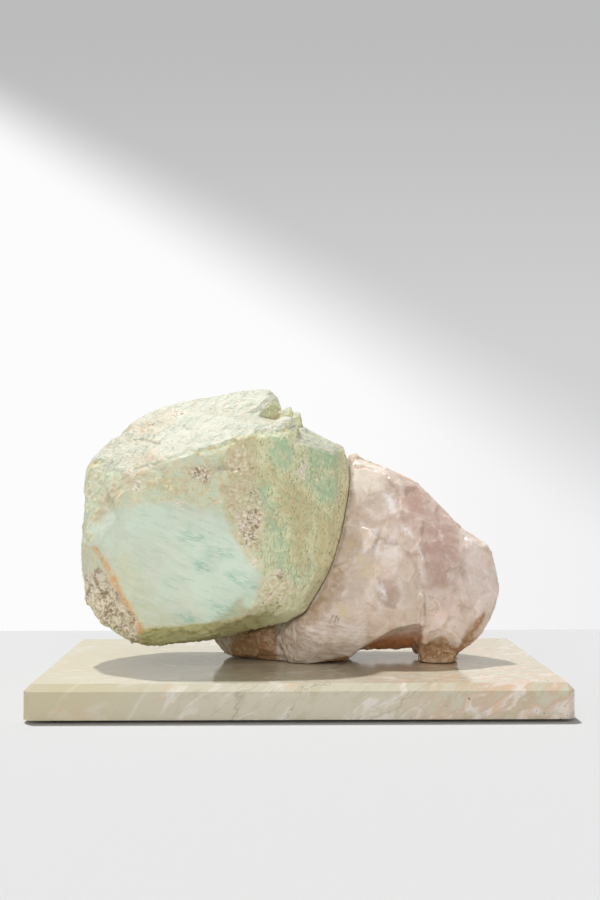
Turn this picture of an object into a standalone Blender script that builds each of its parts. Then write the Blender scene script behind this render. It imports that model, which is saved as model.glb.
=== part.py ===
"""Aquamarine boulder leaning on a rose quartz boulder, both on a polished marble base.

Millimetre values are real sizes. X runs along the base to the viewer's right, the viewer stands at
minus Y, Z is up, and the origin is the middle of the underside of the whole specimen.
"""
import math

import bmesh
import bpy
from mathutils import Matrix, Vector, noise

MM = 0.001

# Pad and marble base
BASE_LENGTH = 470.0
BASE_DEPTH = 300.0
BASE_THICKNESS = 30.0
BASE_CHAMFER = 6.0
PAD_THICKNESS = 2.7
PAD_END_INSET = 20.0
PAD_SIDE_INSET = 12.0
PAD_CORNER = 4.0
CONTACT_GAP = 0.3
BASE_FLOOR = PAD_THICKNESS + CONTACT_GAP
BASE_TOP = BASE_FLOOR + BASE_THICKNESS
STONE_FLOOR = BASE_TOP + CONTACT_GAP

# Longest mesh edge left on each stone
AQUAMARINE_EDGE = 17.5
ROUGH_EDGE_SHARE = 0.55
PATCH_RIM = 0.1
REFINE_ROUNDS = 9
SLIVER = 0.4
ROSE_QUARTZ_EDGE = 16.5
WELD = 1.2
FLAT_ANGLE = math.radians(1.0)
WORN_ANGLE = math.radians(12.0)
WORN_EDGE_MIN = 3.5
WEAR = 0.25
WEAR_ROUNDS = 2
MOVE_SHARE = 0.35

# Relief heights and sizes
BROAD_HEIGHT = 1.6
BROAD_SIZE = 52.0
BROAD_DETAIL = (1.0, 2.0, 3)
OTHER_NOISE = Vector((300.0, 0.0, 0.0))
LUMP_HEIGHT = 3.2
LUMP_SIZE = 11.0
SWELL_HEIGHT = 1.2
SWELL_SIZE = 24.0
LEDGE_STEP = 26.0
LEDGE_HEIGHT = 2.2
LEDGE_WANDER = 7.0
LEDGE_ACROSS = (-0.12, 0.62, 0.78)
LEDGE_FACING = 0.3
LEDGE_FACING_FULL = 0.6
SMOOTH_FACE = ((-95.0, -92.0, 125.0), 75.0)
SMOOTH_FACE_CALM = 0.8
LUMPY_PATCHES = (
    ((-182.0, -62.0, 88.0), 42.0),
    ((-46.0, -92.0, 158.0), 34.0),
    ((-2.0, -80.0, 112.0), 26.0),
    ((-150.0, -10.0, 258.0), 44.0),
    ((-192.0, -30.0, 215.0), 30.0),
    ((-70.0, -80.0, 215.0), 50.0),
)
AQUAMARINE_HOLLOWS = (
    ((-160.0, -70.0, 72.0), 15.0, 5.0),
    ((-176.0, -62.0, 96.0), 10.0, 2.5),
    ((-96.0, -91.0, 190.0), 14.0, 2.0),
    ((-20.0, -84.0, 190.0), 16.0, 2.0),
)
SCAR = ((86.0, -97.0, 112.0), 36.0)

# Each block is the tight hull of named points in mm.
AQUAMARINE_BODY = {
    "rim at left": ((-204, -35, 169), (-203, -25, 214), (-200, -15, 230), (-182, -5, 244),
        (-151, 12, 272), (-130, 20, 281)),
    "rim at right": ((-35, 18, 271), (11, 5, 255), (47, -10, 238), (51, -15, 213), (47, -24, 181),
        (40, -35, 146), (30, -45, 118), (6, -60, 82)),
    "rim at bottom": ((-10, -66, 77), (-40, -69, 70), (-80, -70, 60), (-108, -68, 57), (-139, -64, 52),
        (-156, -60, 55), (-184, -46, 69), (-201, -38, 88), (-205, -35, 136)),
    "smooth front": ((-156, -90, 183), (-126, -92, 186), (-66, -96, 169), (-42, -97, 148),
        (-31, -97, 124), (-13, -86, 87), (-80, -89, 76), (-145, -85, 72), (-186, -73, 141),
        (-152, -85, 90)),
    "granular band": ((-155, -80, 210), (-129, -80, 222), (-74, -75, 236), (-30, -66, 256)),
    "sage right": ((-1, -65, 242), (33, -46, 232), (36, -44, 212), (35, -52, 182), (27, -60, 139),
        (4, -82, 106)),
    "back": ((-203, 6, 168), (-200, 10, 122), (-198, 12, 196), (-182, 38, 200), (-184, 36, 118),
        (-140, 66, 214), (-145, 70, 120), (-60, 74, 225), (-50, 78, 140), (15, 58, 218), (22, 52, 150),
        (48, 32, 208), (44, 22, 150)),
    "back top": ((-120, 46, 268), (-40, 52, 274), (0, 34, 258)),
    "underside": ((-150, 10, 68), (-140, 45, 82), (-60, 20, 58), (-50, 55, 84), (0, 20, 84),
        (32, 8, 118), (-100, -20, 56)),
}
AQUAMARINE_PEAK = {
    "front": ((-107, -14, 253), (-69, -6, 263), (-35, 0, 278), (-35, -6, 272)),
    "top": ((-145, 12, 273), (-130, 20, 281), (-97, 26, 287), (-61, 30, 293), (-42, 31, 297),
        (-25, 28, 298), (-18, 22, 293), (-16, 18, 280), (-16, 12, 270)),
    "back": ((-130, 46, 270), (-90, 54, 276), (-34, 56, 276), (-18, 42, 268), (-112, 50, 236),
        (-40, 56, 230)),
    "root": ((-150, 0, 240), (-30, 0, 232), (-14, 30, 232), (-140, 40, 240), (-80, -20, 232)),
}
AQUAMARINE_KNOB = {
    "crown": ((-25, -60, 257), (-21, -52, 264), (-12, -46, 267), (-4, -46, 266), (-1, -52, 261),
        (-2, -60, 252)),
    "front": ((-32, -66, 237), (-1, -62, 234), (-13, -63, 257)),
    "root": ((-34, -66, 225), (4, -60, 222), (6, -36, 236), (-38, -36, 236)),
    "back": ((-26, -24, 262), (-4, -20, 258)),
}
AQUAMARINE_TOOTH = {
    "crown": ((-17, -3, 274), (-9, -5, 279), (-5, -5, 279), (-4, -6, 274), (-17, 10, 274), (-10, 10, 280),
        (-5, 10, 280), (-4, 12, 273)),
    "root": ((-19, -8, 250), (-3, -9, 250), (-19, 18, 250), (-3, 18, 250)),
}
AQUAMARINE_POST = {
    "crown": ((-3, -8, 276), (3, -8, 275), (-3, 5, 278), (3, 5, 277)),
    "root": ((-4, -11, 244), (6, -11, 244), (-4, 10, 244), (6, 10, 244)),
}
AQUAMARINE_CHIP = {
    "crown": ((2, -16, 256), (9, -14, 257), (10, -5, 258), (3, -4, 259)),
    "root": ((1, -18, 240), (11, -18, 240), (12, 2, 240), (1, 2, 240)),
}
ROSE_QUARTZ_BODY = {
    "top": ((45, 12, 236), (53, 8, 231), (67, 5, 225), (98, 2, 215), (111, 0, 210), (137, -5, 183),
        (163, -8, 157)),
    "ridge": ((101, -12, 206), (115, -50, 142)),
    "left of ridge": ((51, -8, 215), (45, -22, 175), (38, -36, 138), (22, -48, 108), (9, -56, 87),
        (68, -60, 110), (103, -60, 110)),
    "right of ridge": ((122, -59, 108), (154, -40, 131), (160, -43, 93)),
    "bulge": ((7, -60, 79), (18, -63, 81), (56, -66, 85), (106, -65, 92), (22, -62, 60), (68, -62, 62),
        (112, -60, 73), (138, -58, 84), (121, -48, 52), (146, -48, 59), (159, -44, 71)),
    "hidden left": ((30, 30, 226), (12, 10, 150), (4, -16, 100), (20, 40, 150)),
    "back": ((40, 50, 214), (30, 60, 130), (62, 58, 180), (100, 40, 194), (96, 64, 120), (128, 58, 112),
        (160, 36, 135), (168, 34, 75), (120, 52, 62), (70, 58, 66), (30, 52, 58)),
    "underside": ((40, -30, 50), (120, -30, 50), (152, -20, 48), (56, 9, 36), (112, 9, 36), (82, 28, 42),
        (152, 26, 50)),
}
ROSE_QUARTZ_END = {
    "rim": ((164, -9, 158), (173, -10, 152), (180, -11, 151), (186, -12, 146), (189, -14, 128),
        (192, -17, 111), (195, -20, 95), (194, -22, 85), (185, -25, 72), (177, -28, 58), (164, -30, 50),
        (153, -32, 43)),
    "front": ((161, -24, 144), (157, -37, 116), (159, -42, 89), (155, -45, 64), (144, -44, 52)),
    "back": ((165, 30, 142), (184, 14, 112), (182, 12, 80), (172, 20, 60), (152, 30, 50), (140, 30, 70),
        (130, 10, 150)),
    "root": ((130, -20, 100), (130, -10, 52)),
}
ROSE_QUARTZ_LEFT_FOOT = {
    "front": ((5, -58, 81), (22, -56, 95), (1, -61, 69), (11, -61, 57), (57, -60, 56), (70, -57, 58),
        (-16, -44, 51), (-10, -54, 67), (-6, -50, 76)),
    "sole": ((-10, -32, 32), (-2, -35, 32), (11, -38, 35), (23, -42, 37), (44, -45, 39), (58, -48, 44),
        (67, -51, 50)),
    "heel": ((-10, 26, 33), (40, 40, 33), (52, 0, 33), (64, 34, 50), (-24, 34, 84), (50, 50, 90)),
}
ROSE_QUARTZ_TOE = {
    "left end": ((-84, -4, 51), (-74, 0, 43), (-69, 4, 37), (-67, 5, 33)),
    "front": ((-32, 4, 33), (-17, -28, 46), (-47, -30, 58), (-13, -24, 33)),
    "heel": ((-64, 34, 33), (-82, 30, 50), (-20, 44, 33), (30, 42, 34), (20, 52, 84), (-66, 38, 72),
        (-30, 48, 60)),
    "top": ((-80, 10, 68), (0, -20, 82)),
}
ROSE_QUARTZ_RIGHT_FOOT = {
    "sole": ((114, -20, 33), (116, -38, 32), (144, -40, 33), (153, -26, 33), (118, 18, 33), (150, 20, 33)),
    "root": ((112, -38, 62), (116, 28, 60), (156, -36, 60), (154, 30, 60)),
}
ARCH_NEAR = {
    "near": ((50, -60, 39), (58, -60, 46), (72, -60, 56), (78, -60, 60), (102, -60, 68), (115, -60, 75),
        (111, -60, 52), (109, -60, 39), (108, -60, 21), (50, -60, 21)),
    "nearer": ((37, -95, 41), (55, -95, 53), (69, -95, 63), (98, -95, 77), (114, -95, 88),
        (108, -95, 57), (106, -95, 9), (37, -95, 9)),
    "middle": ((50, 9, 28), (52, 9, 35), (62, 9, 37.6), (100, 9, 38.6), (112, 9, 39.6), (115, 9, 28)),
}
ARCH_FAR = {
    "middle": ((50, 8, 28), (52, 8, 35), (62, 8, 37.6), (100, 8, 38.6), (112, 8, 39.6), (115, 8, 28)),
    "far": ((44, 90, 28), (46, 90, 50), (66, 90, 66), (104, 90, 66), (120, 90, 50), (122, 90, 28)),
}
CLEFT = {
    "mouth": ((107, -72, 109), (121, -72, 111), (103, -72, 63), (124, -72, 65)),
    "keel": ((116, -59, 110), (116, -51, 68)),
}


AQUAMARINE_ADDED = (AQUAMARINE_PEAK, AQUAMARINE_KNOB, AQUAMARINE_TOOTH, AQUAMARINE_POST, AQUAMARINE_CHIP)
ROSE_QUARTZ_ADDED = (ROSE_QUARTZ_END, ROSE_QUARTZ_LEFT_FOOT, ROSE_QUARTZ_TOE, ROSE_QUARTZ_RIGHT_FOOT)
ROSE_QUARTZ_CUT = (ARCH_NEAR, ARCH_FAR, CLEFT)

# Base colour in linear light, and roughness
FINISHES = {
    "aquamarine": ((0.56, 0.66, 0.52), 0.5),
    "rose_quartz": ((0.60, 0.46, 0.40), 0.45),
    "marble_base": ((0.68, 0.60, 0.48), 0.2),
    "felt_pad": ((0.012, 0.012, 0.013), 0.95),
}


def hull_block(groups):
    """A block whose facets are the tight hull of its named points."""
    bm = bmesh.new()
    for points in groups.values():
        for point in points:
            bm.verts.new(Vector(point) * MM)
    hull = bmesh.ops.convex_hull(bm, input=bm.verts[:])
    inside = [item for item in hull["geom_interior"] if isinstance(item, bmesh.types.BMVert)]
    bmesh.ops.delete(bm, geom=inside, context="VERTS")
    bmesh.ops.remove_doubles(bm, verts=bm.verts, dist=WELD * MM)
    bmesh.ops.recalc_face_normals(bm, faces=bm.faces)
    return bm


def material(name, colour, roughness):
    """A plain Principled material."""
    made = bpy.data.materials.new(name)
    made.use_nodes = True
    shader = made.node_tree.nodes["Principled BSDF"]
    shader.inputs["Base Color"].default_value = (*colour, 1.0)
    shader.inputs["Roughness"].default_value = roughness
    shader.inputs["Metallic"].default_value = 0.0
    return made


def as_object(name, bm, collection):
    """Turn a mesh in the making into an object of a collection."""
    mesh = bpy.data.meshes.new(name)
    bm.to_mesh(mesh)
    bm.free()
    item = bpy.data.objects.new(name, mesh)
    collection.objects.link(item)
    return item


def piece(name, bm, collection):
    """A named piece of the specimen with its own material."""
    item = as_object(name, bm, collection)
    item.data.materials.append(material(name, *FINISHES[name]))
    return item


def box(centre, size):
    """A box in metres from a centre and size in mm."""
    bm = bmesh.new()
    placed = Matrix.Translation(Vector(centre) * MM) @ Matrix.Diagonal((*(Vector(size) * MM), 1.0))
    bmesh.ops.create_cube(bm, size=1.0, matrix=placed)
    return bm


def marble_base():
    """The slab with chamfered top edges and upright corners."""
    bm = box((0, 0, BASE_FLOOR + BASE_THICKNESS / 2), (BASE_LENGTH, BASE_DEPTH, BASE_THICKNESS))
    bottom = BASE_FLOOR * MM + 1e-6
    chamfered = [edge for edge in bm.edges if max(vert.co.z for vert in edge.verts) > bottom]
    bmesh.ops.bevel(
        bm, geom=chamfered, offset=BASE_CHAMFER * MM, offset_type="OFFSET", segments=1,
        profile=0.5, affect="EDGES")
    return bm


def felt_pad():
    """The thin pad under the slab."""
    bm = box((0, 0, PAD_THICKNESS / 2),
             (BASE_LENGTH - 2 * PAD_END_INSET, BASE_DEPTH - 2 * PAD_SIDE_INSET, PAD_THICKNESS))
    upright = [edge for edge in bm.edges
               if abs(edge.verts[0].co.z - edge.verts[1].co.z) > 0.5 * PAD_THICKNESS * MM]
    bmesh.ops.bevel(
        bm, geom=upright, offset=PAD_CORNER * MM, offset_type="OFFSET", segments=3,
        profile=0.5, affect="EDGES")
    return bm


def combine(base, others, operation):
    """Fuse objects into the base, or cut them out of it, with exact Booleans."""
    for other in others:
        step = base.modifiers.new(operation, "BOOLEAN")
        step.operation = operation
        step.solver = "EXACT"
        step.object = other
    graph = bpy.context.evaluated_depsgraph_get()
    graph.update()
    fused = bpy.data.meshes.new_from_object(base.evaluated_get(graph))
    base.modifiers.clear()
    base.data = fused
    for other in others:
        bpy.data.objects.remove(other)


def cutter_blocks(forms, collection):
    """One block per table, to fuse or to cut with."""
    return [as_object("block", hull_block(form), collection) for form in forms]


def scoop(centre, radius):
    """A round cutter that leaves a conchoidal scar."""
    bm = bmesh.new()
    bmesh.ops.create_icosphere(
        bm, subdivisions=3, radius=radius * MM, matrix=Matrix.Translation(Vector(centre) * MM))
    return bm


def edge_limit(edge, longest, patches):
    """Longest edge allowed here, shorter inside the rough patches."""
    middle = (edge.verts[0].co + edge.verts[1].co) / (2 * MM)
    rough = any(patch_strength(middle, patch) > PATCH_RIM for patch in patches)
    return longest * MM * (ROUGH_EDGE_SHARE if rough else 1.0)


def merge_slivers(bm):
    """Merge the points that the Booleans leave almost touching."""
    bmesh.ops.remove_doubles(bm, verts=bm.verts, dist=SLIVER * MM)
    bmesh.ops.delete(bm, geom=[edge for edge in bm.edges if edge.is_wire], context="EDGES")
    bmesh.ops.triangulate(bm, faces=bm.faces[:])


def halve(edge):
    """Split an edge in the middle and join the new point to the far corner of each triangle."""
    corners = [next(vert for vert in face.verts if vert not in edge.verts) for face in edge.link_faces]
    _half, middle = bmesh.utils.edge_split(edge, edge.verts[0], 0.5)
    for corner in corners:
        face = next(face for face in middle.link_faces if corner in face.verts)
        bmesh.utils.face_split(face, middle, corner)


def refine(bm, longest, patches):
    """Halve every edge longer than the limit, the longest first, and keep the flat facets flat."""
    for _round in range(REFINE_ROUNDS):
        long_edges = [edge for edge in bm.edges if edge.calc_length() > edge_limit(edge, longest, patches)]
        if not long_edges:
            break
        for edge in sorted(long_edges, key=bmesh.types.BMEdge.calc_length, reverse=True):
            halve(edge)
        bm.normal_update()
        flat = [edge for edge in bm.edges
                if len(edge.link_faces) == 2 and edge.calc_face_angle() < FLAT_ANGLE]
        bmesh.ops.beautify_fill(bm, faces=bm.faces[:], edges=flat)


def soften(bm, amount, rounds):
    """Wear the sharp edges between facets down a little, small features left alone."""
    for _round in range(rounds):
        bm.normal_update()
        worn = {}
        for vert in bm.verts:
            if min(edge.calc_length() for edge in vert.link_edges) < WORN_EDGE_MIN * MM:
                continue
            if max(edge.calc_face_angle(0.0) for edge in vert.link_edges) < WORN_ANGLE:
                continue
            around = [edge.other_vert(vert).co for edge in vert.link_edges]
            middle = sum(around, Vector()) / len(around)
            worn[vert] = vert.co.lerp(middle, amount)
        for vert, place in worn.items():
            vert.co = place


def patch_strength(place, patch):
    """One in the middle of a patch and nothing beyond its radius."""
    centre, radius = patch
    away = (place - Vector(centre)).length / radius
    return max(0.0, 1.0 - away * away)


def weather(bm, relief):
    """Push each vertex along its normal by a relief height in mm, less where the mesh is fine."""
    bm.normal_update()
    moves = []
    for vert in bm.verts:
        most = MOVE_SHARE * min(edge.calc_length() for edge in vert.link_edges)
        height = relief(vert.co / MM, vert.normal) * MM
        moves.append((vert, vert.normal * max(-most, min(most, height))))
    for vert, move in moves:
        vert.co += move


def aquamarine_relief(place, outward):
    """Broad waviness everywhere, lumps in the granular patches, ledges on the top face."""
    smooth = patch_strength(place, SMOOTH_FACE)
    calm = 1.0 - SMOOTH_FACE_CALM * smooth
    height = BROAD_HEIGHT * noise.fractal(place / BROAD_SIZE, *BROAD_DETAIL) * calm
    lumps = noise.noise(place / LUMP_SIZE)
    height += LUMP_HEIGHT * lumps * max(patch_strength(place, patch) for patch in LUMPY_PATCHES)
    facing = max(outward.z, outward.y)
    ledged = min(1.0, max(0.0, (facing - LEDGE_FACING) / (LEDGE_FACING_FULL - LEDGE_FACING)))
    across = Vector(LEDGE_ACROSS).dot(place) + LEDGE_WANDER * noise.noise(place / BROAD_SIZE)
    height += LEDGE_HEIGHT * ledged * ((across / LEDGE_STEP) % 1.0 - 0.5)
    for centre, radius, depth in AQUAMARINE_HOLLOWS:
        height -= depth * patch_strength(place, (centre, radius))
    return height


def rose_quartz_relief(place, _outward):
    """Broad waviness and shallow conchoidal swells."""
    height = BROAD_HEIGHT * noise.fractal((place + OTHER_NOISE) / BROAD_SIZE, *BROAD_DETAIL)
    return height + SWELL_HEIGHT * noise.noise(place / SWELL_SIZE)


def grown(item, amount, collection):
    """A copy of a stone grown outward by an amount in mm, used to cut its seat."""
    bm = bmesh.new()
    bm.from_mesh(item.data)
    bm.normal_update()
    for vert, outward in [(vert, vert.normal.copy()) for vert in bm.verts]:
        vert.co += outward * amount * MM
    return as_object("seat", bm, collection)


def flatten_feet(bm):
    """Bring every point below the sole plane up to it, which leaves flat contact spots."""
    for vert in bm.verts:
        vert.co.z = max(vert.co.z, STONE_FLOOR * MM)


def keep_largest_body(bm):
    """Drop any chip that cutting the seat has left loose."""
    bodies = []
    unseen = set(bm.verts)
    while unseen:
        body = set()
        reached = [next(iter(unseen))]
        while reached:
            vert = reached.pop()
            if vert not in body:
                body.add(vert)
                reached.extend(edge.other_vert(vert) for edge in vert.link_edges)
        unseen -= body
        bodies.append(body)
    bodies.sort(key=len)
    for chip in bodies[:-1]:
        bmesh.ops.delete(bm, geom=list(chip), context="VERTS")


def reshape(item, work):
    """Run a mesh edit on an object's mesh."""
    bm = bmesh.new()
    bm.from_mesh(item.data)
    work(bm)
    bmesh.ops.triangulate(bm, faces=bm.faces[:])
    bmesh.ops.recalc_face_normals(bm, faces=bm.faces[:])
    bm.to_mesh(item.data)
    bm.free()


def finish_aquamarine(bm):
    merge_slivers(bm)
    refine(bm, AQUAMARINE_EDGE, LUMPY_PATCHES)
    soften(bm, WEAR, WEAR_ROUNDS)
    weather(bm, aquamarine_relief)


def finish_rose_quartz(bm):
    merge_slivers(bm)
    refine(bm, ROSE_QUARTZ_EDGE, ())
    soften(bm, WEAR, WEAR_ROUNDS)
    weather(bm, rose_quartz_relief)
    flatten_feet(bm)


def main():
    for item in list(bpy.data.objects):
        bpy.data.objects.remove(item)
    specimen = bpy.data.collections.new("Aquamarine and rose quartz specimen")
    cutters = bpy.data.collections.new("Cutters")
    bpy.context.scene.collection.children.link(specimen)
    bpy.context.scene.collection.children.link(cutters)
    piece("felt_pad", felt_pad(), specimen)
    piece("marble_base", marble_base(), specimen)
    aqua = piece("aquamarine", hull_block(AQUAMARINE_BODY), specimen)
    combine(aqua, cutter_blocks(AQUAMARINE_ADDED, cutters), "UNION")
    reshape(aqua, finish_aquamarine)
    rose = piece("rose_quartz", hull_block(ROSE_QUARTZ_BODY), specimen)
    combine(rose, cutter_blocks(ROSE_QUARTZ_ADDED, cutters), "UNION")
    scar = as_object("scar", scoop(*SCAR), cutters)
    combine(rose, cutter_blocks(ROSE_QUARTZ_CUT, cutters) + [scar], "DIFFERENCE")
    reshape(rose, finish_rose_quartz)
    combine(rose, [grown(aqua, CONTACT_GAP, cutters)], "DIFFERENCE")
    reshape(rose, keep_largest_body)


main()
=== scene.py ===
"""Dresses the aquamarine and rose quartz specimen: detailed stones, marble base, felt pad and studio.

Coordinates are millimetres unless a comment says otherwise. X runs to the viewer's right, the viewer stands
at minus Y and Z is up. Each stone is the packed solid remeshed finely, with its main edges kept and its
small relief cut by noise, and carries masks that tell its material where each kind of surface lies.
"""

import math
from types import SimpleNamespace

import bpy
import numpy as np
from bpy.props import FloatProperty, FloatVectorProperty, PointerProperty
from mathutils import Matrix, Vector, noise
from mathutils.bvhtree import BVHTree


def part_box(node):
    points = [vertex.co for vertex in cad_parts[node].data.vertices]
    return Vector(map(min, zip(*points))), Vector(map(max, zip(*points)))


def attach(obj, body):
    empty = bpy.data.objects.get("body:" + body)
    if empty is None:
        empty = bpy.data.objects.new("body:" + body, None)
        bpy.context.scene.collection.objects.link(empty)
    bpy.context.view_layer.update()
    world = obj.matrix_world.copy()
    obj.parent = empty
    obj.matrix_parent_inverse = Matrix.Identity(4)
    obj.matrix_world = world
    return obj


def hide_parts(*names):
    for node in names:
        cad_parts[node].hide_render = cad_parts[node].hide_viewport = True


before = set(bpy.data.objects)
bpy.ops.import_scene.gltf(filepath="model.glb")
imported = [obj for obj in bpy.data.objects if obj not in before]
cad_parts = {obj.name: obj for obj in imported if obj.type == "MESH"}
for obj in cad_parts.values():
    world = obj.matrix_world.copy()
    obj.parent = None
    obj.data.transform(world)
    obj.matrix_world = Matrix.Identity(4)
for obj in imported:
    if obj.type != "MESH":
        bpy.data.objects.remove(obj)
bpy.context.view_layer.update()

bl_info = {
    "name": "Aquamarine specimen",
    "version": (1, 0, 0),
    "blender": (4, 5, 0),
    "location": "View3D > Sidebar > Specimen",
    "description": "Builds an aquamarine and rose quartz specimen on a marble base",
    "category": "Add Mesh",
}

MM = 0.001
# Triangles of one stone after it is thinned
FACE_LIMIT = 194000
# Gaps between the stones count up to this far
GAP_LIMIT = 12.0
# Rounds of smoothing that edges and hollows are measured against
BULGE_ROUNDS = 24
FACET_SEED = 3
FRONT = (0, -1, 0)
UP = (0, 0, 1)

# Camera, fitted to the slab's edges
CAMERA_PLACE = (-18.0, -1214.0, 211.5)
CAMERA_YAW = math.atan(21 / 1250)
CAMERA_TILT = math.atan(24 / 1250)
CAMERA_LENS_MM = 50.0
CAMERA_SENSOR_MM = 36.0

# Stage. The wall is dimmer in mirror rays, and the room brighter where the camera sees it.
FLOOR_REACH = 6000.0
WALL_PLACE = 481.0
WALL_HEIGHT = 1450.0
WALL_MIRRORED = 0.72
ROOM_SEEN = 0.7
KEY_TOWARD_LIGHT = (-0.176, 0.287, 1.0)
KEY_ANGLE = math.radians(2.5)
FILL_TOWARD_LIGHT = (-0.12, -0.90, 0.42)
FILL_ANGLE = math.radians(50)

# Kinds of surface on the aquamarine's front, each with how ragged and how soft its edge is and its closed
# outlines as X and Z
AQUAMARINE_ZONES = {
    "smooth": (0.9, 3.0, (((-192, 162), (-175, 179), (-147, 183), (-122, 186), (-89, 182), (-66, 175),
        (-61, 161), (-54, 148), (-44, 135), (-34, 119), (-39, 101), (-46, 82), (-75, 75), (-111, 73),
        (-142, 71), (-144, 78), (-153, 98), (-166, 118), (-181, 138), (-188, 149)),)),
    "lime": (1.0, 12.0, (((-178, 138), (-156, 141), (-143, 125), (-127, 94), (-111, 75), (-142, 72),
        (-153, 98)),)),
    "blue": (1.5, 9.0, (((-160, 172), (-127, 180), (-108, 172), (-120, 155), (-150, 157)), ((-118, 162),
        (-88, 164), (-60, 156), (-46, 134), (-36, 116), (-46, 84), (-76, 78), (-92, 96), (-100, 130)))),
    "teal": (0.9, 4.0, (((-113, 159), (-98, 161), (-84, 153), (-96, 148)), ((-88, 146), (-70, 146),
        (-56, 139), (-72, 136)), ((-66, 123), (-48, 121), (-31, 109), (-44, 106)), ((-84, 97), (-66, 94),
        (-52, 84), (-70, 81)), ((-100, 133), (-84, 133), (-78, 126), (-92, 126)), ((-112, 86), (-96, 88),
        (-90, 79), (-104, 77)))),
    "green": (1.6, 5.0, (((-28, 251), (-9, 248), (-8, 222), (-18, 214), (-28, 228)), ((8, 238), (42, 234),
        (43, 214), (16, 216)), ((-42, 204), (-28, 202), (-25, 184), (-36, 180)), ((-27, 144), (-14, 142),
        (-11, 128), (-24, 127)), ((-15, 108), (2, 108), (11, 94), (4, 82), (-12, 84)), ((12, 208),
        (40, 208), (41, 188), (22, 186)), ((-28, 170), (-10, 166), (-9, 146), (-24, 144)), ((-106, 252),
        (-79, 265), (-46, 283), (-41, 279), (-69, 261), (-96, 249)))),
    "granular": (1.4, 6.0, (((-66, 232), (-50, 238), (-38, 226), (-42, 206), (-34, 182), (-31, 152),
        (-46, 139), (-58, 150), (-64, 176), (-62, 202)), ((-34, 116), (-22, 120), (2, 114), (6, 99),
        (-6, 80), (-31, 78), (-38, 92)), ((-105, 218), (-80, 224), (-72, 204), (-104, 200)))),
    "crystal": (0.8, 2.0, (((-57, 177), (-44, 181), (-34, 177), (-35, 166), (-44, 153), (-55, 161)),
        ((-97, 215), (-85, 217), (-83, 206), (-94, 206)), ((-149, 203), (-143, 204), (-142, 198),
        (-148, 197)), ((-110, 187), (-105, 188), (-103, 183), (-109, 182)), ((-46, 135), (-35, 136),
        (-34, 130), (-44, 130)), ((-26, 127), (-15, 125), (-17, 120), (-25, 121)), ((-121, 275),
        (-110, 273), (-111, 267), (-118, 267)), ((0, 222), (7, 220), (5, 208), (1, 206)))),
    "ochre": (1.8, 7.0, (((-58, 244), (-40, 244), (-36, 214), (-20, 218), (-16, 204), (-44, 204),
        (-50, 160), (-64, 166), (-66, 216)), ((-16, 208), (2, 206), (11, 176), (11, 128), (-4, 126),
        (-6, 158), (-14, 180)), ((14, 178), (38, 176), (36, 150), (16, 126)), ((-136, 204), (-112, 208),
        (-92, 200), (-118, 192)))),
    "rim": (0.6, 5.0, (((43, 235), (52, 206), (50, 178), (44, 149), (27, 118), (8, 83), (-2, 83),
        (16, 119), (30, 150), (34, 178), (39, 206), (40, 232)),)),
    "blush": (1.3, 6.0, (((-183, 188), (-163, 206), (-138, 236), (-124, 229), (-139, 206), (-157, 197),
        (-172, 183), (-185, 169), (-193, 169)), ((-168, 257), (-143, 264), (-125, 279), (-113, 268),
        (-133, 253), (-152, 246)))),
    "corner": (0.6, 2.5, (((-205, 118), (-184, 124), (-174, 115), (-159, 93), (-145, 80), (-147, 56),
        (-165, 56), (-185, 70), (-205, 87)),)),
    "sunk": (0.4, 2.0, (((-167, 72), (-155, 76), (-155, 67), (-164, 62)), ((-188, 100), (-175, 103),
        (-165, 83), (-168, 73), (-184, 76)))),
}
# The knob and the end of the peak stay crisp: where that fades in from the left, the right and below
KNOB_LEFT = (-46.0, -34.0)
KNOB_RIGHT = (24.0, 16.0)
KNOB_FOOT = (254.0, 262.0)
# An iron stained vein and a crack, drawn on the front
ORANGE_VEIN = ((-187, 144), (-180, 136), (-169, 120), (-161, 101), (-153, 88), (-145, 72))
BROWN_CRACK = ((-171, 241), (-150, 245), (-128, 240))
# How the cleavage ledges run on top
LEDGE_RUN = (0.58, 0.70, 0.41)
LEDGE_OUTWARD = (0, -0.5, 0.87)

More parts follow.
